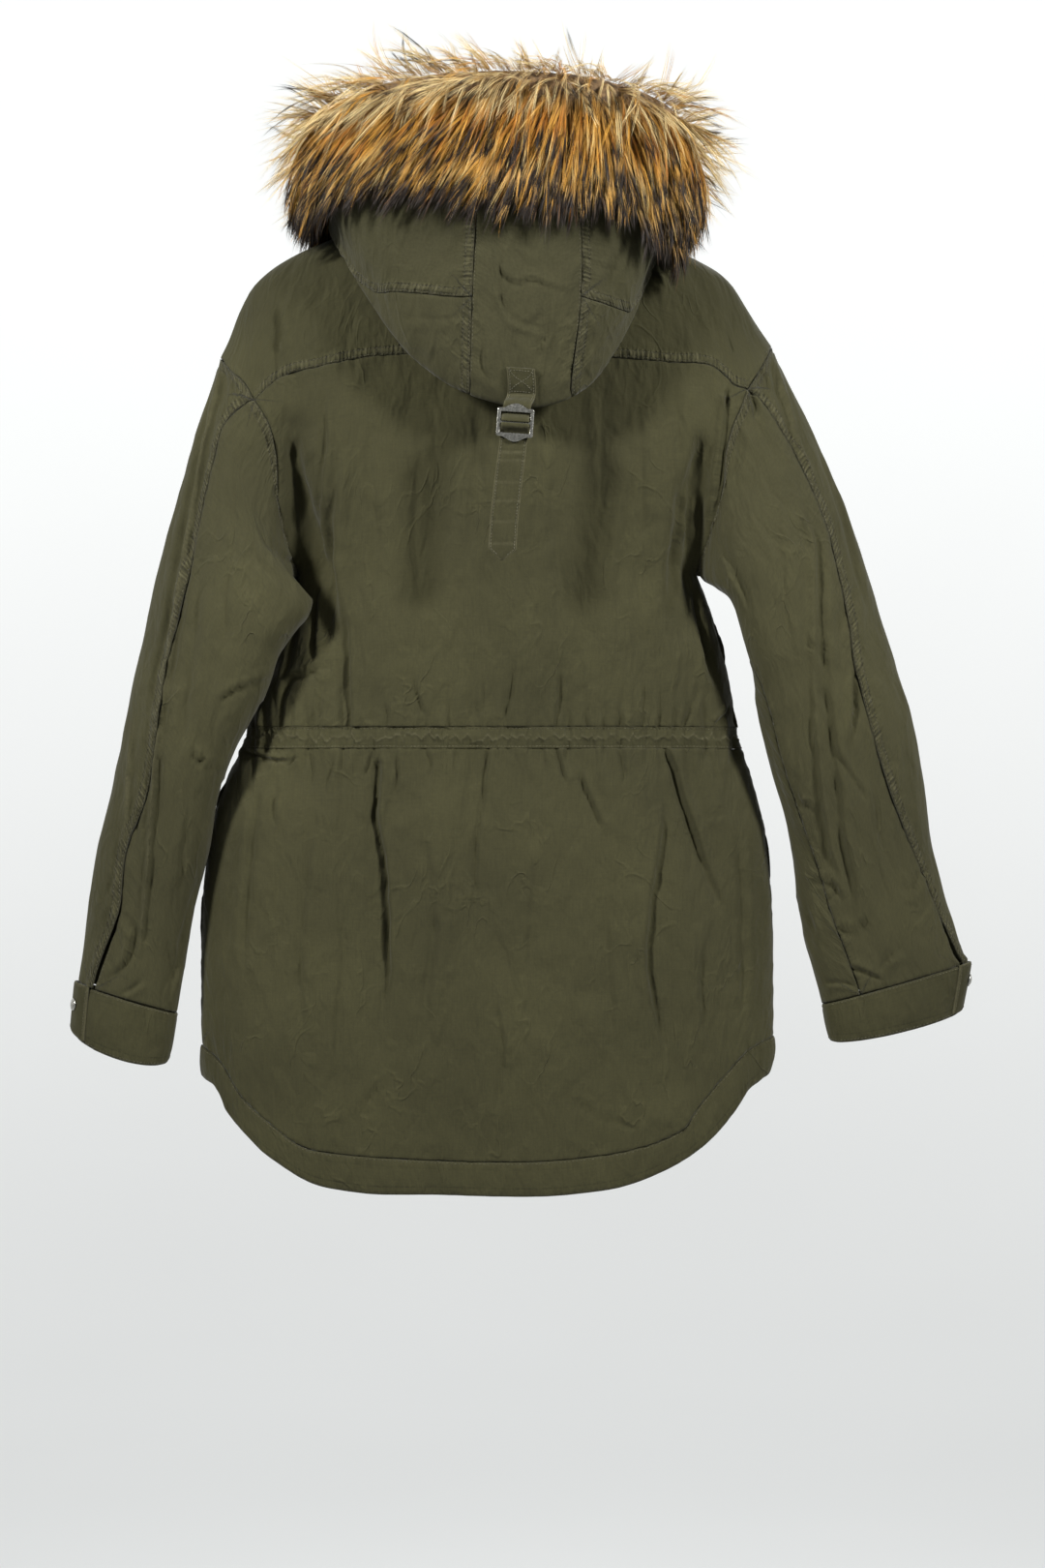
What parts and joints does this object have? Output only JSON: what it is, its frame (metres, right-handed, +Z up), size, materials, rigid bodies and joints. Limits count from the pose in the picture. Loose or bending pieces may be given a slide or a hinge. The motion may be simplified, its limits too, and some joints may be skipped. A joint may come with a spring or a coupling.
{
  "type": "hooded parka on a hanger",
  "caption": "Olive cotton parka with a fur-trimmed hood, gathered drawstring waist and shirt-tail hem, hanging on a plain hanger.",
  "frame": {"origin": "inside of the top of the hanger's hook, where a rail or peg carries it", "axes": "+Z up; +X to the right seen from the coat's back; -Y towards the coat's back, which faces the viewer, +Y towards its front"},
  "size_m": [0.8098, 0.2744, 1.0139],
  "materials": {
    "olive_cotton": "matte",
    "olive_trim": "matte",
    "fur_pile": "soft pile",
    "nickel": "satin",
    "hanger_wood": "satin",
    "hook_steel": "polished"
  },
  "bodies": {
    "root": {"back_yoke": "olive_cotton", "back_panel": "olive_cotton", "waist_casing_back": "olive_cotton", "skirt_back": "olive_cotton", "hem_band_back": "olive_cotton", "front_left": "olive_cotton", "front_right": "olive_cotton", "waist_casing_front_left": "olive_cotton", "waist_casing_front_right": "olive_cotton", "skirt_front_left": "olive_cotton", "skirt_front_right": "olive_cotton", "hem_band_front_left": "olive_cotton", "hem_band_front_right": "olive_cotton", "front_placket": "olive_cotton", "sleeve_top_left": "olive_cotton", "sleeve_top_right": "olive_cotton", "sleeve_back_left": "olive_cotton", "sleeve_back_right": "olive_cotton", "hood_centre": "olive_cotton", "hood_side_upper_left": "olive_cotton", "hood_side_upper_right": "olive_cotton", "hood_side_lower_left": "olive_cotton", "hood_side_lower_right": "olive_cotton", "cuff_tab_left": "olive_trim", "cuff_tab_right": "olive_trim", "hood_strap": "olive_trim", "hood_strap_tail": "olive_trim", "cuff_left": "olive_trim", "cuff_right": "olive_trim", "fur_ruff": "fur_pile", "snap_left": "nickel", "snap_right": "nickel", "hood_buckle": "nickel", "hanger_bar": "hanger_wood", "hanger_hook": "hook_steel"}
  },
  "joints": []
}
